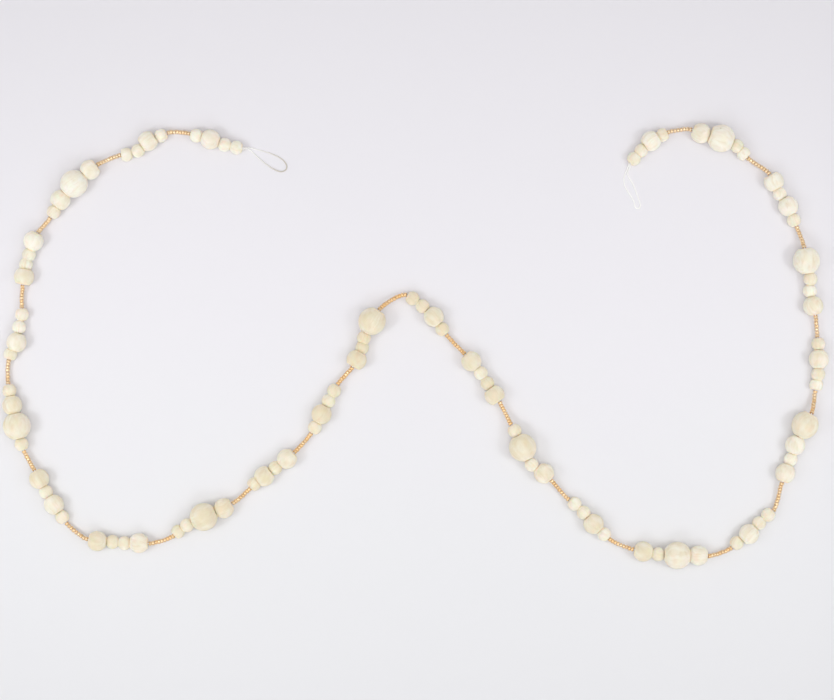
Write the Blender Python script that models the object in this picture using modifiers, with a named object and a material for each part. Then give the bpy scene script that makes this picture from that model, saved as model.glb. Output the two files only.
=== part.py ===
"""A garland of turned wooden balls and gold seed beads on a thin white string, lying in a W.

Units are metres and +Z is up. The garland lies on the plane Z = 0, with the middle of the balls'
box at the origin. +X and +Y are right and up as seen from above. The string starts at the left
loop, runs down the left side, over the hump of the W and up the right side to the other loop.
"""

import math
from collections import namedtuple

import bmesh
import bpy
from mathutils import Matrix, Vector

GARLAND = "wooden_ball_garland"
MM = 0.001
GAP = 0.3 * MM  # between pieces that touch
WELD = 0.001 * MM
AXIS_MERGE = 0.01 * MM  # for the points that a turned outline leaves on its axis

# Balls: across is the diameter, long is the length along the drilled hole, between the flat ends
Kind = namedtuple("Kind", "across long sides rings")
KINDS = {
    "S": Kind(10.0 * MM, 8.2 * MM, sides=8, rings=4),
    "s": Kind(10.0 * MM, 6.6 * MM, sides=8, rings=4),
    "M": Kind(14.5 * MM, 12.4 * MM, sides=10, rings=6),
    "m": Kind(14.5 * MM, 10.6 * MM, sides=10, rings=6),
    "L": Kind(20.0 * MM, 17.6 * MM, sides=12, rings=6),
    "l": Kind(20.0 * MM, 16.0 * MM, sides=12, rings=6),
}
BELT = 0.3  # half width of the straight belt around a ball's middle, over its radius
HOLE_PLAY = 0.8 * MM  # how far the string lies below the middle of a hole
CLIMB = 2.75 * MM  # the most that the string climbs from one ball's hole to the next

# Seed beads
SEED_ACROSS = 3.0 * MM
SEED_PITCH = 2.2 * MM
SEED_WAIST = 0.68  # radius where two seeds meet, over a seed's radius
SEED_SIDES = 6
RUN_CLEAR = 0.6 * MM  # from a ball's flat end to the middle of the first seed's end
RUN_SAG = 1.2 * MM
RUN_STEPS = 60
RUN_PULL = 0.6  # how far a run keeps the way of the holes at its ends, over the distance it spans

# String, knots and loops
STRING_ACROSS = 0.9 * MM
STRING_SIDES = 8
CORE_ACROSS = 1.6 * MM  # the string inside a group, plain and a little thick
CORE_SIDES = 4
LOOP_STEP = 2.1 * MM
ROUTE_STEPS = 8  # between two points of a route

# One row for each group: the balls in order along the string, the middle of the first ball in mm, and
# five ways in degrees from +X towards +Y. The string comes to the first ball the first way, goes from
# each ball to the next the three ways in the middle, and leaves the last ball the fifth way.
Row = namedtuple("Row", "balls x y ways")
ROWS = [
    Row("SSMS", -128, 142, (170, 167, 160, 164, 161)),
    Row("SmSs", -182, 150.5, (-153, -156, -137, -162, 172)),
    Row("mLmS", -232.5, 126, (-152, -138, -131, -121, -122)),
    Row("Mssm", -273, 75, (-123, -110, -107, -97, -103)),
    Row("SSMs", -281.5, 22.5, (-67, -103, -98, -119, -97)),
    Row("SMLS", -290.5, -32, (-76, -78, -76, -77, -67)),
    Row("MSMS", -269, -95, (-56, -64, -56, -58, -57)),
    Row("MSSM", -227.5, -139.5, (-14, -4, -6, 1, -6)),
    Row("sSLM", -170, -133, (52, 35, 27, 23, 33)),
    Row("smSM", -115.5, -99, (55, 38, 37, 38, 44)),
    Row("SMSS", -72, -58.5, (53, 63, 62, 62, 63)),
    Row("mssL", -42, -10, (54, 66, 79, 64, 52)),
    Row("SSMS", -2, 34, (-19, -38, -43, -56, -50)),
    Row("MSSm", 40, -11, (-45, -51, -57, -59, -50)),
    Row("SLSM", 71, -60.5, (-55, -65, -62, -35, -53)),
    Row("SSMS", 114, -113, (-27, -44, -49, -44, -43)),
    Row("MSLM", 163, -147, (-13, -10, -3, -1, -6)),
    Row("SMSS", 230, -141, (53, 37, 46, 42, 36)),
    Row("MSML", 264.5, -91, (76, 67, 74, 65, 55)),
    Row("sSMS", 287, -28, (85, 80, 89, 90, 101)),
    Row("MSSL", 284.5, 28.5, (108, 101, 89, 104, 93)),
    Row("SMSm", 271, 90, (117, 114, 123, 117, 120)),
    Row("sslM", 235, 137.5, (139, 133, 155, 165, 150)),
    Row("smsS", 177, 151, (-156, -152, -136, -131, -138)),
]

# Routes of the two end loops, as x, y and height in mm, from the knot and back to it
LOOPS = {
    "loop_left": [
        (-119.4, 142.1, 2.0), (-117.2, 141.7, 1.2), (-114.1, 140.9, 0.6), (-110.6, 140.0, 0.5),
        (-107.1, 139.1, 0.5), (-103.5, 137.9, 0.5), (-100.0, 136.4, 0.5), (-97.1, 134.9, 0.5),
        (-94.7, 133.1, 0.5), (-93.0, 131.0, 0.5), (-92.3, 128.9, 0.5), (-92.7, 126.8, 0.5),
        (-94.4, 125.4, 0.5), (-96.7, 125.0, 0.5), (-99.3, 125.7, 0.5), (-102.3, 127.2, 0.5),
        (-105.6, 129.3, 0.5), (-108.6, 131.5, 0.5), (-111.4, 133.8, 0.5), (-114.1, 136.2, 0.5),
        (-116.4, 138.5, 0.7), (-118.2, 140.1, 1.2), (-119.5, 140.9, 1.9),
    ],
    "loop_right": [
        (152.6, 128.7, 2.0), (152.0, 127.0, 1.3), (151.3, 125.2, 0.7), (150.5, 123.5, 0.5),
        (149.9, 121.4, 0.5), (149.6, 118.8, 0.5), (150.0, 115.8, 0.5), (151.2, 113.0, 0.5),
        (152.7, 110.5, 0.5), (154.2, 108.1, 0.5), (155.6, 105.8, 0.5), (156.7, 103.5, 0.5),
        (157.3, 101.1, 0.5), (158.0, 99.3, 0.5), (159.4, 98.6, 0.5), (160.9, 99.3, 0.5),
        (161.4, 101.0, 0.5), (160.9, 103.3, 0.5), (160.0, 105.9, 0.5), (159.0, 108.6, 0.5),
        (158.0, 111.4, 0.5), (157.0, 114.1, 0.5), (155.9, 116.6, 0.5), (154.5, 118.9, 0.5),
        (153.2, 121.0, 0.5), (152.4, 123.0, 0.5), (152.5, 124.9, 0.7), (153.1, 126.6, 1.3),
        (153.8, 128.3, 2.0),
    ],
}  # fmt: skip

# Knots: the height and radius of each swelling in mm, from the ball's hole to the loop
KNOTS = {
    "knot_left": [(4.4, 0.7), (4.1, 1.2), (3.7, 1.25), (3.3, 0.85), (2.9, 1.1), (2.5, 0.95), (2.2, 0.6)],
    "knot_right": [(4.3, 0.5), (3.9, 0.9), (3.3, 1.15), (2.7, 1.1), (2.3, 0.7)],
}

# Colours as red, green, blue, then roughness and metallic
WOOD = ((0.85, 0.76, 0.60), 0.75, 0.0)
GOLD = ((0.83, 0.55, 0.22), 0.25, 0.9)
COTTON = ((0.88, 0.88, 0.87), 0.85, 0.0)

Ball = namedtuple("Ball", "kind middle way")


def heading(degrees):
    """The level direction at this angle from +X towards +Y."""
    angle = math.radians(degrees)
    return Vector((math.cos(angle), math.sin(angle), 0.0))


def between(way, next_way):
    """The way halfway between two, in degrees."""
    return way + ((next_way - way + 180) % 360 - 180) / 2


def end_radius(kind):
    """Radius of the flat ends of a ball, which are cut where its hole leaves it."""
    return math.sqrt((kind.across / 2) ** 2 - (kind.long / 2) ** 2)


def hole_heights(kinds):
    """Heights of a group's holes. Balls rest on the floor, but the string lifts a small one by a large."""
    radii = [kind.across / 2 for kind in kinds]
    beside = [radii[max(i - 1, 0) : i + 2] for i in range(len(radii))]
    return [max(radius, max(near) - CLIMB) for radius, near in zip(radii, beside)]


def laid_row(row):
    """The four balls of a group. Where the string turns, their ends meet at the rims, and the holes part."""
    kinds = [KINDS[letter] for letter in row.balls]
    heights = hole_heights(kinds)
    turns = [between(before, after) for before, after in zip(row.ways, row.ways[1:])]
    middle = Vector((row.x * MM, row.y * MM, 0.0))
    balls = []
    for i, (kind, way) in enumerate(zip(kinds, turns)):
        if i:
            before = kinds[i - 1]
            turn = 2 * math.radians(abs(between(turns[i - 1], way) - turns[i - 1]))
            parted = min(end_radius(before), end_radius(kind)) * math.sin(turn)
            step = (before.long + kind.long) / 2 + GAP + parted
            middle = middle + step * heading(row.ways[i])
        balls.append(Ball(kind, Vector((middle.x, middle.y, heights[i])), way))
    return balls


def centred(groups):
    """The same groups and the shift that brings the middle of their box to X = Y = 0."""
    balls = [ball for group in groups for ball in group]
    shift = Vector((0.0, 0.0, 0.0))
    for axis in (0, 1):
        low = min(ball.middle[axis] - ball.kind.across / 2 for ball in balls)
        high = max(ball.middle[axis] + ball.kind.across / 2 for ball in balls)
        shift[axis] = -(low + high) / 2
    moved = [[Ball(ball.kind, ball.middle + shift, ball.way) for ball in group] for group in groups]
    return moved, shift


def ball_outline(kind):
    """Half the section of a ball, as (radius, height) from the top of its axis to the bottom."""
    radius = kind.across / 2
    belt = math.asin(BELT)
    rim = math.asin(kind.long / 2 / radius)
    steps = kind.rings // 2 - 1
    angles = [rim + (belt - rim) * i / steps for i in range(steps + 1)]
    upper = [(radius * math.cos(a), radius * math.sin(a)) for a in angles[:-1]]
    upper.append((radius, BELT * radius))
    lower = [(across, -height) for across, height in reversed(upper)]
    widen = 1 / math.cos(math.pi / kind.sides)  # the flats of the turned shape touch the true ball
    ends = [(0.0, kind.long / 2), (0.0, -kind.long / 2)]
    return [ends[0]] + [(across * widen, height) for across, height in upper + lower] + [ends[1]]


def outline_mesh(name, outline):
    """A mesh of edges alone, which a Screw modifier turns."""
    mesh = bpy.data.meshes.new(name)
    points = [(across, 0.0, height) for across, height in outline]
    mesh.from_pydata(points, [(i, i + 1) for i in range(len(points) - 1)], [])
    return mesh


def lying_matrix(ball):
    """Puts the axis of a turned ball along its hole, with one of its flats level underneath."""
    along = heading(ball.way)
    down = Vector((0.0, 0.0, -1.0))
    outward = Matrix.Rotation(math.pi / ball.kind.sides, 3, along) @ down
    side = along.cross(outward)
    return Matrix.Translation(ball.middle) @ Matrix((outward, side, along)).transposed().to_4x4()


def turned_ball(name, ball, meshes, collection):
    piece = bpy.data.objects.new(name, meshes[ball.kind])
    collection.objects.link(piece)
    piece.matrix_world = lying_matrix(ball)
    piece.hide_render = True
    piece.display_type = "WIRE"
    screw = piece.modifiers.new("turned", "SCREW")
    screw.axis = "Z"
    screw.steps = screw.render_steps = ball.kind.sides
    screw.use_merge_vertices = True
    screw.merge_threshold = AXIS_MERGE
    return piece


def tube(name, points, radii, sides, collection):
    """A curve object through the points, with the radius given at each and closed ends."""
    curve = bpy.data.curves.new(name, "CURVE")
    curve.dimensions = "3D"
    curve.twist_mode = "Z_UP"
    curve.bevel_depth = max(radii)
    curve.bevel_resolution = sides // 2 - 2
    curve.use_fill_caps = True
    spline = curve.splines.new("POLY")
    spline.points.add(len(points) - 1)
    for place, point, radius in zip(spline.points, points, radii):
        place.co = (*point, 1.0)
        place.radius = radius / curve.bevel_depth
    piece = bpy.data.objects.new(name, curve)
    collection.objects.link(piece)
    return piece


def as_mesh(piece, collection):
    """Replaces a curve object by a mesh of the same name, with its caps welded on."""
    bpy.context.view_layer.update()
    graph = bpy.context.evaluated_depsgraph_get()
    mesh = bpy.data.meshes.new_from_object(piece.evaluated_get(graph))
    shape = bmesh.new()
    shape.from_mesh(mesh)
    bmesh.ops.remove_doubles(shape, verts=shape.verts, dist=WELD)
    bmesh.ops.recalc_face_normals(shape, faces=shape.faces)
    shape.to_mesh(mesh)
    shape.free()
    name, place = piece.name, piece.matrix_world.copy()
    bpy.data.objects.remove(piece)
    solid = bpy.data.objects.new(name, mesh)
    collection.objects.link(solid)
    solid.matrix_world = place
    return solid


def group_of_balls(name, balls, meshes, parts, cutters):
    """Four balls joined by the string that goes through them."""
    middles = [ball.middle for ball in balls]
    radii = [CORE_ACROSS / 2] * len(balls)
    group = as_mesh(tube(name, middles, radii, CORE_SIDES, parts), parts)
    for i, ball in enumerate(balls):
        union = group.modifiers.new(f"ball_{i + 1}", "BOOLEAN")
        union.operation = "UNION"
        union.solver = "EXACT"
        union.object = turned_ball(f"{name}_ball_{i + 1}", ball, meshes, cutters)
    return group


def hole_end(ball, sign):
    """Where the string leaves a ball: 1 for the end further along the garland, -1 for the other."""
    end = ball.middle + sign * (ball.kind.long / 2) * heading(ball.way)
    return Vector((end.x, end.y, end.z - HOLE_PLAY))


def run_path(before, after):
    """A smooth, slightly sagging path of many points from one ball's hole to the next group's."""
    start = hole_end(before, 1) + RUN_CLEAR * heading(before.way)
    end = hole_end(after, -1) - RUN_CLEAR * heading(after.way)
    pull = RUN_PULL * (end - start).length
    leaving, arriving = pull * heading(before.way), pull * heading(after.way)
    path = []
    for i in range(RUN_STEPS + 1):
        t = i / RUN_STEPS
        point = (
            (2 * t**3 - 3 * t**2 + 1) * start
            + (t**3 - 2 * t**2 + t) * leaving
            + (3 * t**2 - 2 * t**3) * end
            + (t**3 - t**2) * arriving
        )
        path.append(point - Vector((0.0, 0.0, 4 * t * (1 - t) * RUN_SAG)))
    return path


def even_points(path, count):
    """Points at equal distances along a path, count + 1 of them."""
    reach = [0.0]
    for a, b in zip(path, path[1:]):
        reach.append(reach[-1] + (b - a).length)
    points, k = [], 0
    for i in range(count + 1):
        wanted = reach[-1] * i / count
        while k < len(path) - 2 and reach[k + 1] < wanted:
            k += 1
        share = (wanted - reach[k]) / (reach[k + 1] - reach[k])
        points.append(path[k].lerp(path[k + 1], share))
    return points


def path_length(path):
    return sum((b - a).length for a, b in zip(path, path[1:]))


def run_of_seeds(name, before, after, parts):
    """The seed beads between two groups, as one ridged tube."""
    path = run_path(before, after)
    seeds = round(path_length(path) / SEED_PITCH)
    points = even_points(path, 2 * seeds)
    ridge, waist = SEED_ACROSS / 2, SEED_WAIST * SEED_ACROSS / 2
    radii = [waist if i % 2 == 0 else ridge for i in range(len(points))]
    return tube(name, points, radii, SEED_SIDES, parts)


def smooth_route(points):
    """Many points on a smooth curve through the given ones."""
    around = [2 * points[0] - points[1], *points, 2 * points[-1] - points[-2]]
    path = []
    for a, b, c, d in zip(around, around[1:], around[2:], around[3:]):
        for i in range(ROUTE_STEPS):
            t = i / ROUTE_STEPS
            square, cube = 2 * a - 5 * b + 4 * c - d, 3 * b - a - 3 * c + d
            path.append((2 * b + (c - a) * t + square * t**2 + cube * t**3) / 2)
    return path + [points[-1]]


def loop_of_string(name, route, shift, parts):
    points = [MM * Vector(point) + shift for point in route]
    path = smooth_route(points)
    even = even_points(path, round(path_length(path) / LOOP_STEP))
    return tube(name, even, [STRING_ACROSS / 2] * len(even), STRING_SIDES, parts)


def knot(name, ball, sign, route, shift, parts):
    """A knot between the hole of an end ball and the two ends of a loop."""
    hole = hole_end(ball, sign) + sign * GAP * heading(ball.way)
    mouth = (Vector(route[0]) + Vector(route[-1])) / 2 * MM + shift
    mouth -= GAP * (mouth - hole).normalized()
    swellings = KNOTS[name]
    points, radii = [], []
    for i, (height, radius) in enumerate(swellings):
        point = hole.lerp(mouth, i / (len(swellings) - 1))
        points.append(Vector((point.x, point.y, height * MM)))
        radii.append(radius * MM)
    return tube(name, points, radii, STRING_SIDES, parts)


def material(name, look):
    colour, roughness, metallic = look
    made = bpy.data.materials.new(name)
    made.use_nodes = True
    shader = made.node_tree.nodes["Principled BSDF"]
    shader.inputs["Base Color"].default_value = (*colour, 1.0)
    shader.inputs["Roughness"].default_value = roughness
    shader.inputs["Metallic"].default_value = metallic
    return made


def finish(piece, look):
    """Gives a piece its material, and smooth shading where its faces nearly line up."""
    piece.data.materials.append(look)
    if piece.type == "MESH":
        piece.data.shade_smooth()
        piece.data.set_sharp_from_angle(angle=math.radians(35))


def new_collection(name):
    collection = bpy.data.collections.new(name)
    bpy.context.scene.collection.children.link(collection)
    return collection


def build():
    for piece in list(bpy.data.objects):
        bpy.data.objects.remove(piece)
    parts = new_collection(GARLAND)
    cutters = new_collection("balls_to_join")
    wood, gold, cotton = material("wood", WOOD), material("gold", GOLD), material("cotton", COTTON)

    meshes = {kind: outline_mesh("ball_outline", ball_outline(kind)) for kind in KINDS.values()}
    groups, shift = centred([laid_row(row) for row in ROWS])
    for i, balls in enumerate(groups):
        finish(group_of_balls(f"balls_{i + 1:02d}", balls, meshes, parts, cutters), wood)
    for i, (left, right) in enumerate(zip(groups, groups[1:])):
        finish(run_of_seeds(f"seeds_{i + 1:02d}", left[-1], right[0], parts), gold)

    ends = {"left": (groups[0][0], -1), "right": (groups[-1][-1], 1)}
    for side, (ball, sign) in ends.items():
        route = LOOPS[f"loop_{side}"]
        finish(loop_of_string(f"loop_{side}", route, shift, parts), cotton)
        finish(knot(f"knot_{side}", ball, sign, route, shift, parts), cotton)


build()
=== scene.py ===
"""A garland of turned wooden balls and gold seed beads on a thin white string, lying in a W.

Units are metres unless a name or a comment says mm, +Z is up and the floor is Z = 0. +X and +Y are right
and up as the camera sees them from above. The string starts at the left loop, runs down the left side,
over the hump of the W and up the right side to the other loop.
"""

import math
import random
from collections import namedtuple

import bpy
from mathutils import Matrix, Vector, noise


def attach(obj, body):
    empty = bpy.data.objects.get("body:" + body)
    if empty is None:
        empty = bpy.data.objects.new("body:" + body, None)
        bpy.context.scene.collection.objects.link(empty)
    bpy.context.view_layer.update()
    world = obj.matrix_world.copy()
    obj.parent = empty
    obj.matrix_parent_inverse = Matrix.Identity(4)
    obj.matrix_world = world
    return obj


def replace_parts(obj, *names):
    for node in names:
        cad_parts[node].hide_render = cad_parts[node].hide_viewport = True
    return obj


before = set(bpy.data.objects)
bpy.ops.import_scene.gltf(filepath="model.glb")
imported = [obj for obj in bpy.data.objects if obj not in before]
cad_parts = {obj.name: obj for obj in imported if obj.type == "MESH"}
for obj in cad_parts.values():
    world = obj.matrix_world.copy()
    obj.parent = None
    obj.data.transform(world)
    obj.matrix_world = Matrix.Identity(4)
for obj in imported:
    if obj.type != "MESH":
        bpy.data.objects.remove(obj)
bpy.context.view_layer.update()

MM = 0.001
UP = Vector((0.0, 0.0, 1.0))
TURN = 2 * math.pi
QUARTER = TURN / 4
NOISE_REACH = 99  # in patches of noise, so that no two balls or seeds look alike

# Balls: across is the diameter, long is the length along the drilled hole, bore is the hole's radius, and
# under is how much smaller across than its kind the smallest ball is
Kind = namedtuple("Kind", "across long bore under sides")
KINDS = {
    "S": Kind(10.0 * MM, 8.2 * MM, 1.3 * MM, under=0.0, sides=48),
    "s": Kind(10.0 * MM, 6.6 * MM, 1.3 * MM, under=0.03, sides=48),
    "M": Kind(14.5 * MM, 12.4 * MM, 1.5 * MM, under=0.01, sides=64),
    "m": Kind(14.5 * MM, 10.6 * MM, 1.5 * MM, under=0.01, sides=64),
    "L": Kind(20.0 * MM, 17.6 * MM, 1.9 * MM, under=0.05, sides=88),
    "l": Kind(20.0 * MM, 16.0 * MM, 1.9 * MM, under=0.05, sides=88),
}
GAP = 0.3 * MM  # from the length of one ball to the next's, which their flat ends grow to fill
HOLE_PLAY = 0.8 * MM  # how far the string lies below the middle of a hole
CLIMB = 2.75 * MM  # the most that the string climbs from one ball's hole to the next
LEAN = math.radians(2.5)  # the most that a ball's hole leans towards a higher neighbour
SNUG = 0.02 * MM  # how far a flat end goes past the middle of its seam with the next ball
SEAM_RIM = 0.15 * MM  # roundness of the edge of a flat end in a seam
OPEN_RIM = 0.8 * MM  # the same where the end faces seeds or a loop
# The paler wood near a flat end is partly end grain and partly painted light that lightens the seams between
# balls.
END_GRAIN_AND_SEAM_LIGHT_SHOWS = 0.9 * MM  # how far from a flat end the wood looks paler
LIP = 0.25 * MM  # roundness of the edge of a hole
ARC_STEP = 0.8 * MM  # between the rings of points round a ball
WALL_RING = 0.6  # how far along half of a hole its wall has a ring of points
UNEVEN = 0.008  # how much of its radius the sanding took off a ball at most
UNEVEN_PATCH = 0.45  # how wide the uneven patches are, over the ball's diameter

# Where each ball was in its log, in mm, and how creamy its wood is. Tones go from 0 to about 1.
PITH_AWAY_MM = (25, 70)
LOG_HALF_MM = 500
GRAIN_ASKEW = 0.3  # the most that the grain leans from a ball's hole, in radians
BALL_TONE_LEAST = 0.08
BALL_TONE_CHANCE = 0.4
BALL_TONE_WARMTH = 0.45

# Seed beads
SEED_ACROSS = 3.2 * MM
SEED_PITCH = 2.2 * MM
SEED_LONG = 2.05 * MM
SEED_HOLE = 0.58 * MM  # the hole's radius
SEED_EDGE = 0.62 * MM  # roundness of a seed's shoulders
SEED_SIDES = 28
SEED_RADIUS_SHARES = (0.92, 1.02)  # the smallest and the largest seed, over the usual one
SEED_LENGTH_SHARES = (0.9, 1.02)
SEED_ASKEW = 0.13  # the most that a seed's hole turns from the string each way
SEED_ASIDE = 0.13 * MM  # the most that a seed's middle is beside the string's
SEED_ABOVE = 0.08 * MM  # the most that it is above or below it
SEED_TONE_CHANCE = 0.5
SEED_TONE_WARMTH = 0.5
RUN_CLEAR = 0.6 * MM  # from a ball's flat end to the first seed
RUN_SAG = 1.2 * MM  # how far the middle of a run hangs below its ends
RUN_STEPS = 60  # in a run's path
RUN_PULL = 0.6  # how far a run keeps the way of the holes at its ends, over the distance it spans

# String
STRING_ACROSS = 0.9 * MM
THREAD_SIDES = 10
THREAD_STEP = 0.8 * MM  # between rings of points along the string through the beads
PLIES = 3
PLY_GROOVE = 0.2  # depth of the groove between two plies, over the string's radius
PLY_PITCH = 3.0 * MM  # along the string for one turn of its plies
PLY_SIDES = 24
PLY_STEP = 0.16 * MM  # the same along a string with plies
ROUTE_STEPS = 8  # between two points of a route

# One row for each group: the balls in order along the string, the middle of the first ball in mm, and
# five ways in degrees from +X towards +Y. The string comes to the first ball the first way, goes from
# each ball to the next the three ways in the middle, and leaves the last ball the fifth way.
Row = namedtuple("Row", "balls x y ways")
ROWS = [
    Row("SSMS", -128, 142, (170, 167, 160, 164, 161)),
    Row("SmSs", -182, 150.5, (-153, -156, -137, -162, 172)),
    Row("mLmS", -232.5, 126, (-152, -138, -131, -121, -122)),
    Row("Mssm", -273, 75, (-123, -110, -107, -97, -103)),
    Row("SSMs", -281.5, 22.5, (-67, -103, -98, -119, -97)),
    Row("SMLS", -290.5, -32, (-76, -78, -76, -77, -67)),
    Row("MSMS", -269, -95, (-56, -64, -56, -58, -57)),
    Row("MSSM", -227.5, -139.5, (-14, -4, -6, 1, -6)),
    Row("sSLM", -170, -133, (52, 35, 27, 23, 33)),
    Row("smSM", -115.5, -99, (55, 38, 37, 38, 44)),
    Row("SMSS", -72, -58.5, (53, 63, 62, 62, 63)),
    Row("mssL", -42, -10, (54, 66, 79, 64, 52)),
    Row("SSMS", -2, 34, (-19, -38, -43, -56, -50)),
    Row("MSSm", 40, -11, (-45, -51, -57, -59, -50)),
    Row("SLSM", 71, -60.5, (-55, -65, -62, -35, -53)),
    Row("SSMS", 114, -113, (-27, -44, -49, -44, -43)),
    Row("MSLM", 163, -147, (-13, -10, -3, -1, -6)),
    Row("SMSS", 230, -141, (53, 37, 46, 42, 36)),
    Row("MSML", 264.5, -91, (76, 67, 74, 65, 55)),
    Row("sSMS", 287, -28, (85, 80, 89, 90, 101)),
    Row("MSSL", 284.5, 28.5, (108, 101, 89, 104, 93)),
    Row("SMSm", 271, 90, (117, 114, 123, 117, 120)),
    Row("sslM", 235, 137.5, (139, 133, 155, 165, 150)),
    Row("smsS", 177, 151, (-156, -152, -136, -131, -138)),
]

# Routes of the two end loops, as x, y and height in mm, from the knot and back to it
LOOPS = {
    "loop_left": [
        (-119.4, 142.1, 2.0), (-117.2, 141.7, 1.2), (-114.1, 140.9, 0.6), (-110.6, 140.0, 0.5),
        (-107.1, 139.1, 0.5), (-103.5, 137.9, 0.5), (-100.0, 136.4, 0.5), (-97.1, 134.9, 0.5),
        (-94.7, 133.1, 0.5), (-93.0, 131.0, 0.5), (-92.3, 128.9, 0.5), (-92.7, 126.8, 0.5),
        (-94.4, 125.4, 0.5), (-96.7, 125.0, 0.5), (-99.3, 125.7, 0.5), (-102.3, 127.2, 0.5),
        (-105.6, 129.3, 0.5), (-108.6, 131.5, 0.5), (-111.4, 133.8, 0.5), (-114.1, 136.2, 0.5),
        (-116.4, 138.5, 0.7), (-118.2, 140.1, 1.2), (-119.5, 140.9, 1.9),
    ],
    "loop_right": [
        (152.6, 128.7, 2.0), (152.0, 127.0, 1.3), (151.3, 125.2, 0.7), (150.5, 123.5, 0.5),
        (149.9, 121.4, 0.5), (149.6, 118.8, 0.5), (150.0, 115.8, 0.5), (151.2, 113.0, 0.5),
        (152.7, 110.5, 0.5), (154.2, 108.1, 0.5), (155.6, 105.8, 0.5), (156.7, 103.5, 0.5),
        (157.3, 101.1, 0.5), (158.0, 99.3, 0.5), (159.4, 98.6, 0.5), (160.9, 99.3, 0.5),
        (161.4, 101.0, 0.5), (160.9, 103.3, 0.5), (160.0, 105.9, 0.5), (159.0, 108.6, 0.5),
        (158.0, 111.4, 0.5), (157.0, 114.1, 0.5), (155.9, 116.6, 0.5), (154.5, 118.9, 0.5),
        (153.2, 121.0, 0.5), (152.4, 123.0, 0.5), (152.5, 124.9, 0.7), (153.1, 126.6, 1.3),
        (153.8, 128.3, 2.0),
    ],
}

# Knots: turns of the two strands round each other, and the turns, span and radius of the hitch round
# both. The spans are over the knot's length, from the ball to the loop.
Tie = namedtuple("Tie", "turns hitch_turns hitch_from hitch_to hitch_radius")
TIES = {
    "left": Tie(turns=1.6, hitch_turns=1.2, hitch_from=0.08, hitch_to=0.42, hitch_radius=1.1 * MM),
    "right": Tie(turns=0.9, hitch_turns=2.3, hitch_from=0.2, hitch_to=0.8, hitch_radius=1.15 * MM),
}
STRAND_APART = 0.52 * MM  # from the middle of a twisted pair to either strand
PART_FROM = 0.7  # where the two strands start to part towards the loop, over the knot's length
TUCKED_IN = 1.5 * MM  # how far the strands go into the last ball's hole
HITCH_TUCK = 1 / 6  # how much of a hitch at either end goes in between the strands
KNOT_STEPS = 24
# The grey on the tip of a loop is painted shade.
TIP_SHADE = {"left": 1.0, "right": 0.0}  # how much the tip of each loop is greyed

# Camera, light and floor
CAMERA_HEIGHT = 2.0
CAMERA_PLACE = Vector((1.08 * MM, -2.76 * MM, CAMERA_HEIGHT))
FRAME_WIDTH = 596.7 * MM  # what the picture's width takes in at the height of the balls' middles
BALLS_HEIGHT = 6 * MM
SENSOR_WIDTH_MM = 36.0
LAMP_COLOUR = (0.94, 0.98, 1.0)
Lamp = namedtuple("Lamp", "name place aim size power spread")  # the spread in degrees
LAMPS = [
    Lamp("light_left", (-0.74, -0.2, 0.95), (-0.25, 0.0, 0.0), size=0.36, power=0.41, spread=60),
    Lamp("light_right", (0.74, -0.15, 0.95), (0.25, 0.0, 0.0), size=0.34, power=0.34, spread=60),
    Lamp("light_near", (0.0, -0.8, 1.0), (0.0, -0.1, 0.0), size=0.28, power=1.7, spread=180),
    Lamp("light_over", (0.0, 0.0, 2.4), (0.0, 0.0, 0.0), size=1.2, power=16.0, spread=180),
]
SURROUNDING_COLOUR = (0.985, 0.96, 0.975, 1.0)
SURROUNDING_STRENGTH = 0.52
FLOOR_HALF = 12.0  # from the middle of the floor to its edges

Ball = namedtuple("Ball", "kind middle way")
FlatEnd = namedtuple("FlatEnd", "away rim_radius")  # away is the distance from the ball's middle


class Tone:
    """A number, colour or vector that varies over a surface: an output of one of a finish's nodes."""

    def __init__(self, finish, socket):
        self.finish, self.socket = finish, socket

    def __add__(self, other):
        return self.finish.maths("ADD", self, other)

    def __radd__(self, other):
        return self.finish.maths("ADD", other, self)

    def __sub__(self, other):
        return self.finish.maths("SUBTRACT", self, other)

    def __rsub__(self, other):
        return self.finish.maths("SUBTRACT", other, self)

    def __mul__(self, other):
        return self.finish.maths("MULTIPLY", self, other)

    def __rmul__(self, other):
        return self.finish.maths("MULTIPLY", other, self)


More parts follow.
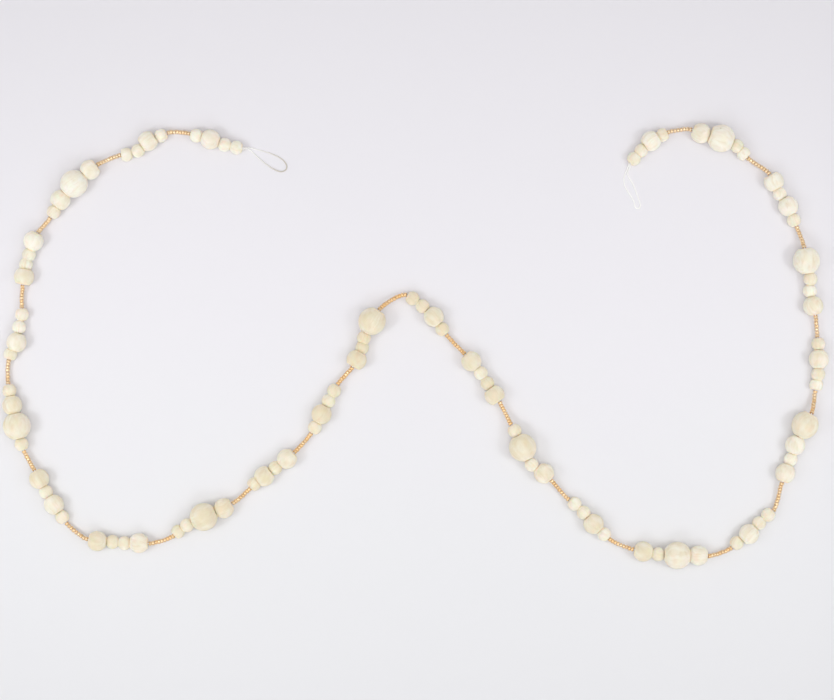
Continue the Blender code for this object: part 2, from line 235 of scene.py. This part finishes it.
class Finish:
    """A material, and the nodes that paint it."""

    def __init__(self, name):
        self.material = bpy.data.materials.new(name)
        self.material.use_nodes = True
        self.tree = self.material.node_tree
        self.shader = self.tree.nodes["Principled BSDF"]

    def feed(self, socket, value):
        if isinstance(value, Tone):
            self.tree.links.new(value.socket, socket)
        else:
            socket.default_value = value

    def node(self, kind, settings, sockets, output=0):
        """Adds a node: its settings first, then values or links for its sockets. Returns one output."""
        made = self.tree.nodes.new(f"ShaderNode{kind}")
        for name, value in settings.items():
            setattr(made, name, value)
        for name, value in sockets.items():
            self.feed(made.inputs[name], value)
        return Tone(self, made.outputs[output])

    def maths(self, operation, *values):
        return self.node("Math", {"operation": operation}, dict(enumerate(values)))

    def length(self, vector):
        return self.node("VectorMath", {"operation": "LENGTH"}, {0: vector}, "Value")

    def distance(self, place, other):
        return self.node("VectorMath", {"operation": "DISTANCE"}, {0: place, 1: other}, "Value")

    def painted(self, name, output="Fac"):
        """A value that the piece's own points hold."""
        return self.node("Attribute", {"attribute_name": name}, {}, output)

    def stretched(self, place, x, y, z):
        """The place with each of its numbers multiplied by one of these."""
        return self.node("VectorMath", {"operation": "MULTIPLY"}, {0: place, 1: (x, y, z)})

    def cloudy(self, place, detail=2.0, roughness=0.5):
        """Soft noise from 0 to 1, about one unit of place from patch to patch."""
        sockets = {"Vector": place, "Scale": 1.0, "Detail": detail, "Roughness": roughness}
        return self.node("TexNoise", {}, sockets, "Fac")

    def rise(self, value, low, high):
        """0 below low and 1 above high, with a smooth rise between."""
        settings = {"interpolation_type": "SMOOTHSTEP"}
        return self.node("MapRange", settings, {"Value": value, "From Min": low, "From Max": high})

    def blend(self, mask, first, second):
        """The first colour where the mask is 0 and the second where it is 1."""
        return self.node("Mix", {"data_type": "RGBA"}, {0: mask, 6: first, 7: second}, 2)

    def relief(self, height, strength, depth):
        """The normal of a surface with this height, whose full height is depth metres."""
        return self.node("Bump", {}, {"Height": height, "Strength": strength, "Distance": depth})

    def paint(self, sockets):
        for name, value in sockets.items():
            self.feed(self.shader.inputs[name], value)
        return self.material


def shade(red, green, blue):
    """A colour from the values that a screen shows for it, 0 to 255."""
    lit = [value / 255 for value in (red, green, blue)]
    return (*(v / 12.92 if v <= 0.04045 else ((v + 0.055) / 1.055) ** 2.4 for v in lit), 1.0)


IVORY = shade(247, 244, 233)
CREAM = shade(230, 220, 192)
LATE_WOOD = shade(220, 200, 166)
PORE = shade(196, 170, 134)
# paler end grain, which is also painted light in the seams between balls
END_GRAIN_AND_SEAM_LIGHT = shade(252, 234, 200)
PIN_KNOT = shade(120, 84, 52)
RING_WIDTH_MM = 2.6
RING_WAVER_MM = 9.0  # how far the growth rings wander
WOOD_GLOW = 3.5 * MM  # how deep light goes into the wood
PIN_KNOT_PLACE = (217.2 * MM, 155.2 * MM, 17.0 * MM)  # on the large ball of the last but one group
PIN_KNOT_RADIUS = 0.5 * MM


def pale_wood():
    """Sanded, unfinished wood with growth rings.

    log_place is where a point was in the log, in mm, with Z along the grain. end is 1 at a drilled end and
    fades to 0 away from it, and tone is how creamy the ball is.
    """
    wood = Finish("pale_wood")
    place = wood.painted("log_place", "Vector")
    end = wood.painted("end")
    waver = wood.cloudy(wood.stretched(place, 0.16, 0.16, 0.05), detail=3.0)
    across = wood.length(wood.stretched(place, 1.0, 1.0, 0.0))
    ring = wood.maths("FRACT", (across + RING_WAVER_MM * waver) * (1 / RING_WIDTH_MM))
    late = wood.rise(ring, 0.1, 0.8) * wood.rise(1.0 - ring, 0.0, 0.25)
    bold = wood.rise(wood.cloudy(wood.stretched(place, 0.3, 0.3, 0.1), detail=1.0), 0.35, 0.7)
    fibres = wood.cloudy(wood.stretched(place, 3.0, 3.0, 0.25), detail=3.0, roughness=0.6)
    pores = wood.rise(wood.cloudy(wood.stretched(place, 5.0, 5.0, 0.6), detail=1.0), 0.66, 0.76)
    patches = wood.cloudy(wood.stretched(place, 0.2, 0.2, 0.12), detail=2.0)

    warmth = wood.rise(0.6 * patches + 0.5 * wood.painted("tone"), 0.25, 0.85)
    colour = wood.blend(warmth, IVORY, CREAM)
    colour = wood.blend(0.34 * late * bold, colour, LATE_WOOD)
    colour = wood.blend(0.22 * wood.rise(fibres, 0.42, 0.75), colour, LATE_WOOD)
    colour = wood.blend(0.22 * pores, colour, PORE)
    # paler at the flat ends and rims: end grain, and painted light in the seams between balls
    colour = wood.blend(0.7 * end, colour, END_GRAIN_AND_SEAM_LIGHT)
    here = wood.node("TexCoord", {}, {}, "Object")
    outside = wood.rise(wood.distance(here, PIN_KNOT_PLACE), 0.5 * PIN_KNOT_RADIUS, PIN_KNOT_RADIUS)
    colour = wood.blend(0.8 * (1.0 - outside), colour, PIN_KNOT)

    height = 0.5 * fibres - 0.6 * pores - 0.15 * late
    return wood.paint(
        {
            "Base Color": colour,
            "Roughness": 0.55 + 0.12 * fibres + 0.1 * end,
            "Normal": wood.relief(height, 0.25, 0.1 * MM),
            "Specular IOR Level": 0.4,
            "Diffuse Roughness": 1.0,
            "Subsurface Weight": 0.4,
            "Subsurface Radius": (1.0, 0.5, 0.3),
            "Subsurface Scale": WOOD_GLOW,
        }
    )


GOLD = shade(242, 208, 152)
GOLD_PALE = shade(246, 236, 214)
# darker amber painted towards the holes of the seeds, as painted shade in the gaps between them
GAP_SHADE_AMBER = shade(240, 202, 146)
GLASS_TINT = (1.0, 0.88, 0.72, 1.0)


def gold_lined_glass():
    """Shiny seed beads. hole goes from 0 round a seed's middle to 1 at its hole, and seed_place is in mm."""
    glass = Finish("gold_lined_glass")
    place = glass.painted("seed_place", "Vector")
    hole = glass.painted("hole")
    streaks = glass.cloudy(glass.stretched(place, 2.2, 2.2, 0.6), detail=2.0)
    colour = glass.blend(glass.painted("tone"), GOLD_PALE, GOLD)
    # painted shade: darker amber towards the holes, in the gaps between seeds
    colour = glass.blend(glass.rise(hole + 0.35 * (streaks - 0.5), 0.15, 0.75), colour, GAP_SHADE_AMBER)
    return glass.paint(
        {
            "Base Color": colour,
            "Metallic": 0.65,
            "Roughness": 0.28 + 0.12 * streaks,
            "Normal": glass.relief(glass.cloudy(glass.stretched(place, 1.1, 1.1, 1.1)), 0.25, 0.15 * MM),
            "Coat Weight": 1.0,
            "Coat Roughness": 0.08,
            "Coat Tint": GLASS_TINT,
        }
    )


COTTON = shade(254, 253, 250)
COTTON_SHADE_AND_DARK_FIBRE = shade(214, 208, 196)
# the grey of the painted shade on a loop's tip
COTTON_TIP_SHADE = shade(190, 178, 162)


def white_cotton():
    """Twisted string.

    groove is 0 on top of a ply and 1 between two, and painted shade darkens the grooves. lay_place goes
    round with the plies, and along the string in mm. The last value, from 0 to 1, is how far painted shade
    greys the string.
    """
    cotton = Finish("white_cotton")
    groove = cotton.painted("groove")
    place = cotton.painted("lay_place", "Vector")
    fibres = cotton.cloudy(cotton.stretched(place, 6.0, 6.0, 1.2), detail=3.0)
    # painted shade darkens the grooves between the plies, and then some fibres are darker
    colour = cotton.blend(0.3 * groove * groove, COTTON, COTTON_SHADE_AND_DARK_FIBRE)
    colour = cotton.blend(0.12 * cotton.rise(fibres, 0.45, 0.8), colour, COTTON_SHADE_AND_DARK_FIBRE)
    # painted shade greys the middle of a loop
    colour = cotton.blend(0.8 * cotton.painted("handled"), colour, COTTON_TIP_SHADE)
    return cotton.paint(
        {
            "Base Color": colour,
            "Roughness": 0.75 + 0.15 * fibres,
            "Normal": cotton.relief(fibres - 0.5 * groove, 0.4, 0.1 * MM),
            "Sheen Weight": 0.25,
            "Sheen Roughness": 0.4,
        }
    )


FLOOR = shade(230, 229, 230)
FLOOR_LILAC = shade(231, 228, 231)


def floor_cloth():
    """The pale cloth that the garland lies on, a little more lilac at the far side, with a fine weave."""
    cloth = Finish("floor_cloth")
    place = cloth.node("TexCoord", {}, {}, "Object")
    patches = cloth.cloudy(cloth.stretched(place, 9.0, 9.0, 9.0), detail=3.0)
    far = cloth.node("SeparateXYZ", {}, {"Vector": place}, "Y")
    weave = cloth.cloudy(cloth.stretched(place, 1400.0, 1400.0, 0.0), detail=1.0)
    lilac = cloth.rise(far + 0.15 * patches, -0.1, 0.15)
    return cloth.paint(
        {
            "Base Color": cloth.blend(lilac, FLOOR, FLOOR_LILAC),
            "Roughness": 0.9,
            "Specular IOR Level": 0.2,
            "Normal": cloth.relief(weave, 0.15, 0.1 * MM),
        }
    )


def heading(degrees):
    """The level direction at this angle from +X towards +Y."""
    angle = math.radians(degrees)
    return Vector((math.cos(angle), math.sin(angle), 0.0))


def between(way, next_way):
    """The way halfway between two, in degrees."""
    return way + ((next_way - way + 180) % 360 - 180) / 2


def end_radius(kind):
    """Radius of the flat ends of a ball, which are cut where its hole leaves it."""
    return math.sqrt((kind.across / 2) ** 2 - (kind.long / 2) ** 2)


def hole_heights(kinds):
    """Heights of a group's holes. Balls rest on the floor, unless a larger neighbour's hole lifts them."""
    radii = [kind.across / 2 for kind in kinds]
    beside = [radii[max(i - 1, 0) : i + 2] for i in range(len(radii))]
    return [max(radius, max(near) - CLIMB) for radius, near in zip(radii, beside)]


def laid_row(row):
    """The four balls of a group. Where the string turns, their ends meet at the rims, and the holes part."""
    kinds = [KINDS[letter] for letter in row.balls]
    heights = hole_heights(kinds)
    turns = [between(before, after) for before, after in zip(row.ways, row.ways[1:])]
    middle = Vector((row.x * MM, row.y * MM, 0.0))
    balls = []
    for i, (kind, way) in enumerate(zip(kinds, turns)):
        if i:
            before = kinds[i - 1]
            turn = 2 * math.radians(abs(between(turns[i - 1], way) - turns[i - 1]))
            parted = min(end_radius(before), end_radius(kind)) * math.sin(turn)
            step = (before.long + kind.long) / 2 + GAP + parted
            middle = middle + step * heading(row.ways[i])
        balls.append(Ball(kind, Vector((middle.x, middle.y, heights[i])), way))
    return balls


def centred(groups):
    """The same groups and the shift that brings the middle of their box to X = Y = 0."""
    balls = [ball for group in groups for ball in group]
    shift = Vector((0.0, 0.0, 0.0))
    for axis in (0, 1):
        low = min(ball.middle[axis] - ball.kind.across / 2 for ball in balls)
        high = max(ball.middle[axis] + ball.kind.across / 2 for ball in balls)
        shift[axis] = -(low + high) / 2
    moved = [[Ball(ball.kind, ball.middle + shift, ball.way) for ball in group] for group in groups]
    return moved, shift


def hole_end(ball, sign):
    """Where the string leaves a ball: 1 for the end further along the garland, -1 for the other."""
    end = ball.middle + sign * (ball.kind.long / 2) * heading(ball.way)
    return Vector((end.x, end.y, end.z - HOLE_PLAY))


def run_path(before, after):
    """A smooth, slightly sagging path of many points from one ball's hole to the next group's."""
    start = hole_end(before, 1) + RUN_CLEAR * heading(before.way)
    end = hole_end(after, -1) - RUN_CLEAR * heading(after.way)
    pull = RUN_PULL * (end - start).length
    leaving, arriving = pull * heading(before.way), pull * heading(after.way)
    path = []
    for i in range(RUN_STEPS + 1):
        t = i / RUN_STEPS
        point = (
            (2 * t**3 - 3 * t**2 + 1) * start
            + (t**3 - 2 * t**2 + t) * leaving
            + (3 * t**2 - 2 * t**3) * end
            + (t**3 - t**2) * arriving
        )
        path.append(point - Vector((0.0, 0.0, 4 * t * (1 - t) * RUN_SAG)))
    return path


def path_length(path):
    return sum((b - a).length for a, b in zip(path, path[1:]))


def even_points(path, count):
    """Points at equal distances along a path, count + 1 of them."""
    reach = [0.0]
    for a, b in zip(path, path[1:]):
        reach.append(reach[-1] + (b - a).length)
    points, k = [], 0
    for i in range(count + 1):
        wanted = reach[-1] * i / count
        while k < len(path) - 2 and reach[k + 1] < wanted:
            k += 1
        share = (wanted - reach[k]) / (reach[k + 1] - reach[k])
        points.append(path[k].lerp(path[k + 1], share))
    return points


def smooth_route(points):
    """Many points on a smooth curve through the given ones."""
    around = [2 * points[0] - points[1], *points, 2 * points[-1] - points[-2]]
    path = []
    for a, b, c, d in zip(around, around[1:], around[2:], around[3:]):
        for i in range(ROUTE_STEPS):
            t = i / ROUTE_STEPS
            square, cube = 2 * a - 5 * b + 4 * c - d, 3 * b - a - 3 * c + d
            path.append((2 * b + (c - a) * t + square * t**2 + cube * t**3) / 2)
    return path + [points[-1]]


class Stock:
    """Points, faces and the values painted on the points, gathered from several shapes for one piece."""

    def __init__(self):
        self.points, self.faces, self.painted = [], [], {}

    def add(self, points, faces, **painted):
        first = len(self.points)
        self.points += points
        self.faces += [[first + corner for corner in face] for face in faces]
        for name, values in painted.items():
            self.painted.setdefault(name, []).extend(values)

    def piece(self, name, finish):
        """The piece that these points and faces make, riding on the garland."""
        mesh = bpy.data.meshes.new(name)
        mesh.from_pydata(self.points, [], self.faces)
        for title, values in self.painted.items():
            if isinstance(values[0], float):
                mesh.attributes.new(title, "FLOAT", "POINT").data.foreach_set("value", values)
            else:
                flat = [number for value in values for number in value]
                mesh.attributes.new(title, "FLOAT_VECTOR", "POINT").data.foreach_set("vector", flat)
        mesh.shade_smooth()
        mesh.materials.append(finish)
        made = bpy.data.objects.new(name, mesh)
        bpy.context.scene.collection.objects.link(made)
        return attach(made, "root")


def ring_faces(rings, sides, closed):
    """Quads between rings of points. The last ring meets the first where closed, and has a cap otherwise."""
    faces = []
    for k in range(rings if closed else rings - 1):
        here, after = k * sides, (k + 1) % rings * sides
        for i in range(sides):
            j = (i + 1) % sides
            faces.append((here + i, here + j, after + j, after + i))
    if not closed:
        faces.append(tuple(reversed(range(sides))))
        faces.append(tuple(range((rings - 1) * sides, rings * sides)))
    return faces


def arc(middle, radius, start, end, steps):
    """Points of an arc in a section, as (radius, height), with the angles in radians."""
    angles = [start + (end - start) * i / steps for i in range(steps + 1)]
    return [(middle[0] + radius * math.cos(a), middle[1] + radius * math.sin(a)) for a in angles]


def half_profile(kind, end):
    """The section of half a drilled ball, from the middle of its hole, out over a flat end and round."""
    radius, half, rim_radius = kind.across / 2, end.away, end.rim_radius
    rim = math.sqrt((radius - rim_radius) ** 2 - (half - rim_radius) ** 2)
    rim_angle = math.atan2(half - rim_radius, rim)
    section = [(kind.bore, 0.0), (kind.bore, WALL_RING * half)]
    section += arc((kind.bore + LIP, half - LIP), LIP, 2 * QUARTER, QUARTER, 3)
    section += arc((rim, half - rim_radius), rim_radius, QUARTER, rim_angle, 4)
    return section + arc((0.0, 0.0), radius, rim_angle, 0.0, round(rim_angle * radius / ARC_STEP))[1:]


def ball_profile(kind, ends):
    """The section of a drilled ball with these two flat ends."""
    before, after = (half_profile(kind, end) for end in ends)
    return after + [(across, -height) for across, height in reversed(before[1:-1])]


def ends_of(balls, i):
    """A ball's flat ends, before and after its middle. Those inside a group go up to their seam."""
    ball = balls[i]
    ends = []
    for sign, j in ((-1, i - 1), (1, i + 1)):
        if 0 <= j < len(balls):
            seam = (hole_end(ball, sign) + hole_end(balls[j], -sign)) / 2
            ends.append(FlatEnd(sign * (seam - ball.middle).dot(heading(ball.way)) + SNUG, SEAM_RIM))
        else:
            ends.append(FlatEnd(ball.kind.long / 2, OPEN_RIM))
    return ends


def turned(profile, sides):
    """Rings of points round the Z axis, one ring for each of the sides, with the profile's points in it."""
    points = []
    for k in range(sides):
        angle = TURN * k / sides
        points += [Vector((r * math.cos(angle), r * math.sin(angle), h)) for r, h in profile]
    return points, ring_faces(sides, len(profile), closed=True)


def axis_matrix(middle, along, spin):
    """Puts a turned shape's middle at a point and its Z axis along a direction, turned by spin round it."""
    side = along.cross(UP).normalized()
    turn = Matrix((side, along.cross(side).normalized() * -1, along)).transposed().to_4x4()
    return Matrix.Translation(middle) @ turn @ Matrix.Rotation(spin, 4, "Z")


def lean_of(balls, i):
    """How far a ball's hole leans up towards the next ball, in radians."""
    before, after = balls[max(i - 1, 0)].middle, balls[min(i + 1, len(balls) - 1)].middle
    return max(-LEAN, min(LEAN, math.atan2(after.z - before.z, (after - before).length)))


def warmth_of(k, count):
    """1 for the middle groups and runs, whose wood and gold are a little yellower, down to 0 at the ends."""
    return 1 - abs(2 * k / (count - 1) - 1)


def somewhere(chance):
    """A place of its own in the noise for one ball or seed."""
    return Vector((chance.uniform(-NOISE_REACH, NOISE_REACH) for _ in range(3)))


def drilled_ball(balls, i, warmth, chance, stock):
    """Adds one ball: a little smaller and less round than its kind, with its own place in the log."""
    ball, lean, flats = balls[i], lean_of(balls, i), ends_of(balls, i)
    kind = ball.kind
    size = 1 - kind.under * chance.random()
    along = heading(ball.way) * math.cos(lean) + UP * math.sin(lean)
    middle = Vector((ball.middle.x, ball.middle.y, ball.middle.z - (1 - size) * kind.across / 2))
    matrix = axis_matrix(middle, along, chance.uniform(0, TURN))
    elsewhere = somewhere(chance)
    pith = Vector((chance.uniform(*PITH_AWAY_MM), 0.0, chance.uniform(-LOG_HALF_MM, LOG_HALF_MM)))
    spun = Matrix.Rotation(chance.uniform(0, TURN), 3, "Z")
    grain = spun @ Matrix.Rotation(chance.uniform(-GRAIN_ASKEW, GRAIN_ASKEW), 3, "X")
    tone = BALL_TONE_CHANCE * chance.random() + BALL_TONE_WARMTH * warmth + BALL_TONE_LEAST

    points, faces = turned(ball_profile(kind, flats), kind.sides)
    hole_mouth = kind.bore + LIP
    placed, log_places, ends = [], [], []
    for point in points:
        across, end = size, 1.0
        if math.hypot(point.x, point.y) > hole_mouth:
            sanded = 0.5 + 0.5 * noise.noise(point / (UNEVEN_PATCH * kind.across) + elsewhere)
            across = size * (1 - UNEVEN * sanded)
            end = max(0.0, 1 + (abs(point.z) - flats[point.z > 0].away) / END_GRAIN_AND_SEAM_LIGHT_SHOWS)
        placed.append(matrix @ Vector((point.x * across, point.y * across, point.z)))
        log_places.append(grain @ (point / MM) + pith)
        ends.append(end)
    stock.add(placed, faces, log_place=log_places, end=ends, tone=[tone] * len(points))


def group_of_balls(name, balls, warmth, chance, wood):
    stock = Stock()
    for i in range(len(balls)):
        drilled_ball(balls, i, warmth, chance, stock)
    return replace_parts(stock.piece(f"{name}_turned", wood), name)


def seed_profile(radius, half):
    """The section of a seed bead with round shoulders."""
    upper = [(SEED_HOLE, 0.0)]
    upper += arc((SEED_HOLE + LIP, half - LIP), LIP, 2 * QUARTER, QUARTER, 3)
    upper += arc((radius - SEED_EDGE, half - SEED_EDGE), SEED_EDGE, QUARTER, 0.0, 5)
    upper += [(radius, 0.0)]
    return upper + [(across, -height) for across, height in reversed(upper[1:-1])]


def seed_bead(middle, along, warmth, chance, stock):
    """Adds one seed: they vary a little in size, and none is quite square to the string."""
    radius = SEED_ACROSS / 2 * chance.uniform(*SEED_RADIUS_SHARES)
    half = SEED_LONG / 2 * chance.uniform(*SEED_LENGTH_SHARES)
    askew = Vector((chance.uniform(-1, 1) for _ in range(3))) * SEED_ASKEW
    aside = along.cross(UP).normalized() * chance.uniform(-SEED_ASIDE, SEED_ASIDE)
    aside += UP * chance.uniform(-SEED_ABOVE, SEED_ABOVE)
    matrix = axis_matrix(middle + aside, (along + askew).normalized(), chance.uniform(0, TURN))
    tone = SEED_TONE_CHANCE * chance.random() + SEED_TONE_WARMTH * warmth
    elsewhere = somewhere(chance)
    points, faces = turned(seed_profile(radius, half), SEED_SIDES)
    placed = [matrix @ point for point in points]
    holes = [1 - (math.hypot(p.x, p.y) - SEED_HOLE) / (radius - SEED_HOLE) for p in points]
    places = [point / MM + elsewhere for point in points]
    stock.add(placed, faces, hole=holes, seed_place=places, tone=[tone] * len(points))


def run_of_seeds(name, before, after, warmth, chance, gold):
    """The seeds between two groups, threaded one after the other."""
    path = run_path(before, after)
    seeds = round(path_length(path) / SEED_PITCH)
    points = even_points(path, 2 * seeds)
    stock = Stock()
    for start, middle, end in zip(points[0::2], points[1::2], points[2::2]):
        seed_bead(middle, (end - start).normalized(), warmth, chance, stock)
    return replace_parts(stock.piece(f"{name}_strung", gold), name)


def string_tube(path, radius, sides, plies=0):
    """Points, faces and painted values of a string along a path, smooth or of this many twisted plies."""
    points, grooves, lay = [], [], []
    reach = 0.0
    for k, point in enumerate(path):
        before, after = path[max(k - 1, 0)], path[min(k + 1, len(path) - 1)]
        along = (after - before).normalized()
        side = along.cross(UP).normalized()
        over = side.cross(along)
        if k:
            reach += (point - before).length
        twist = TURN * reach / PLY_PITCH
        for i in range(sides):
            angle = TURN * i / sides
            crest = abs(math.cos(plies * (angle - twist) / 2))
            away = radius * (1 - PLY_GROOVE * (1 - crest))
            points.append(point + away * (math.cos(angle) * side + math.sin(angle) * over))
            grooves.append(1.0 - crest)
            lay.append((math.cos(angle - twist), math.sin(angle - twist), reach / MM))
    return points, ring_faces(len(path), sides, closed=False), {"groove": grooves, "lay_place": lay}


def plied(path):
    """A path with points close enough together to show the plies."""
    return even_points(path, max(8, round(path_length(path) / PLY_STEP)))


def add_plied(stock, path, handled=0.0):
    """Adds a string with plies, greyed by painted shade this much halfway along it and not at its ends."""
    path = plied(path)
    points, faces, painted = string_tube(path, STRING_ACROSS / 2, PLY_SIDES, PLIES)
    greys = [handled * math.sin(math.pi * k / (len(path) - 1)) ** 2 for k in range(len(path))]
    stock.add(points, faces, handled=[grey for grey in greys for _ in range(PLY_SIDES)], **painted)


def tied_knot(side, ball, sign, route, cotton):
    """The two strands of a loop twisted together up to the ball, with a hitch round both."""
    tie = TIES[side]
    start = hole_end(ball, sign) - sign * TUCKED_IN * heading(ball.way)
    mouth = (route[0] + route[-1]) / 2
    axis = mouth - start
    level = axis.cross(UP).normalized()
    over = level.cross(axis).normalized()
    last = route[0] - mouth
    last_angle = math.atan2(last.dot(over), last.dot(level))
    shares = [i / KNOT_STEPS for i in range(KNOT_STEPS + 1)]

    def spot(t, away, angle):
        """The point this far along the knot, away from its axis and round it."""
        return start + axis * t + away * (math.cos(angle) * level + math.sin(angle) * over)

    stock = Stock()
    for first_angle in (last_angle, last_angle + TURN / 2):
        strand = []
        for t in shares:
            parted = max(0.0, (t - PART_FROM) / (1 - PART_FROM)) ** 2
            away = STRAND_APART + (last.length - STRAND_APART) * parted
            strand.append(spot(t, away, first_angle + (1 - t) * tie.turns * TURN))
        add_plied(stock, smooth_route(strand))
    hitch = []
    for share in shares:
        t = tie.hitch_from + (tie.hitch_to - tie.hitch_from) * share
        out = min(1.0, share / HITCH_TUCK, (1 - share) / HITCH_TUCK)
        away = STRAND_APART + (tie.hitch_radius - STRAND_APART) * out
        hitch.append(spot(t, away, TURN * tie.hitch_turns * share))
    add_plied(stock, smooth_route(hitch))
    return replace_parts(stock.piece(f"knot_{side}_tied", cotton), f"knot_{side}")


def end_loop(side, ball, sign, shift, cotton):
    """The free loop of string at one end of the garland, and its knot."""
    name = f"loop_{side}"
    route = [MM * Vector(point) + shift for point in LOOPS[name]]
    path = smooth_route(route)
    stock = Stock()
    add_plied(stock, path, TIP_SHADE[side])
    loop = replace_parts(stock.piece(f"{name}_string", cotton), name)
    knot = tied_knot(side, ball, sign, route, cotton)


def seam_height(before, after):
    """Height at which the string goes from one ball's hole to the next one's."""
    play = [ball.kind.bore - STRING_ACROSS / 2 for ball in (before, after)]
    lowest = max(before.middle.z - play[0], after.middle.z - play[1])
    highest = min(before.middle.z + play[0], after.middle.z + play[1])
    return lowest if lowest <= highest else (lowest + highest) / 2


def threaded_string(groups, cotton):
    """The string from the first ball to the last, through every hole."""
    path = [hole_end(groups[0][0], -1)]
    for k, balls in enumerate(groups):
        if k:
            path += [*run_path(groups[k - 1][-1], balls[0]), hole_end(balls[0], -1)]
        for before, after in zip(balls, balls[1:]):
            seam = (hole_end(before, 1) + hole_end(after, -1)) / 2
            path.append(Vector((seam.x, seam.y, seam_height(before, after))))
        path.append(hole_end(balls[-1], 1))
    even = even_points(path, round(path_length(path) / THREAD_STEP))
    points, faces, painted = string_tube(even, STRING_ACROSS / 2, THREAD_SIDES)
    stock = Stock()
    stock.add(points, faces, **painted)
    return stock.piece("string_threaded", cotton)


def floor():
    corners = [(x * FLOOR_HALF, y * FLOOR_HALF, 0.0) for x, y in ((-1, -1), (1, -1), (1, 1), (-1, 1))]
    mesh = bpy.data.meshes.new("floor")
    mesh.from_pydata(corners, [], [(0, 1, 2, 3)])
    mesh.materials.append(floor_cloth())
    made = bpy.data.objects.new("floor", mesh)
    bpy.context.scene.collection.objects.link(made)


def camera():
    lens = bpy.data.cameras.new("camera")
    lens.sensor_width = SENSOR_WIDTH_MM
    lens.lens = SENSOR_WIDTH_MM * (CAMERA_HEIGHT - BALLS_HEIGHT) / FRAME_WIDTH
    made = bpy.data.objects.new("camera", lens)
    made.location = CAMERA_PLACE
    bpy.context.scene.collection.objects.link(made)
    bpy.context.scene.camera = made


def soft_light(lamp):
    light = bpy.data.lights.new(lamp.name, "AREA")
    light.size = lamp.size
    light.energy = lamp.power
    light.color = LAMP_COLOUR
    light.spread = math.radians(lamp.spread)
    made = bpy.data.objects.new(lamp.name, light)
    made.location = lamp.place
    made.rotation_euler = (Vector(lamp.aim) - Vector(lamp.place)).to_track_quat("-Z", "Y").to_euler()
    made.visible_camera = False
    bpy.context.scene.collection.objects.link(made)


def studio():
    """The lamps, which light the two halves from their outer sides, and a pale surrounding."""
    for lamp in LAMPS:
        soft_light(lamp)
    world = bpy.data.worlds.new("surrounding")
    world.use_nodes = True
    background = world.node_tree.nodes["Background"]
    background.inputs["Color"].default_value = SURROUNDING_COLOUR
    background.inputs["Strength"].default_value = SURROUNDING_STRENGTH
    bpy.context.scene.world = world
    bpy.context.scene.view_settings.view_transform = "Standard"


camera()
wood, gold, cotton = pale_wood(), gold_lined_glass(), white_cotton()
groups, shift = centred([laid_row(row) for row in ROWS])
end_loop("left", groups[0][0], -1, shift, cotton)
end_loop("right", groups[-1][-1], 1, shift, cotton)
threaded_string(groups, cotton)
chance = random.Random(7)
for i, balls in enumerate(groups):
    group_of_balls(f"balls_{i + 1:02d}", balls, warmth_of(i, len(groups)), chance, wood)
for i, (left, right) in enumerate(zip(groups, groups[1:])):
    warmth = warmth_of(i, len(groups) - 1)
    run_of_seeds(f"seeds_{i + 1:02d}", left[-1], right[0], warmth, chance, gold)
floor()
studio()
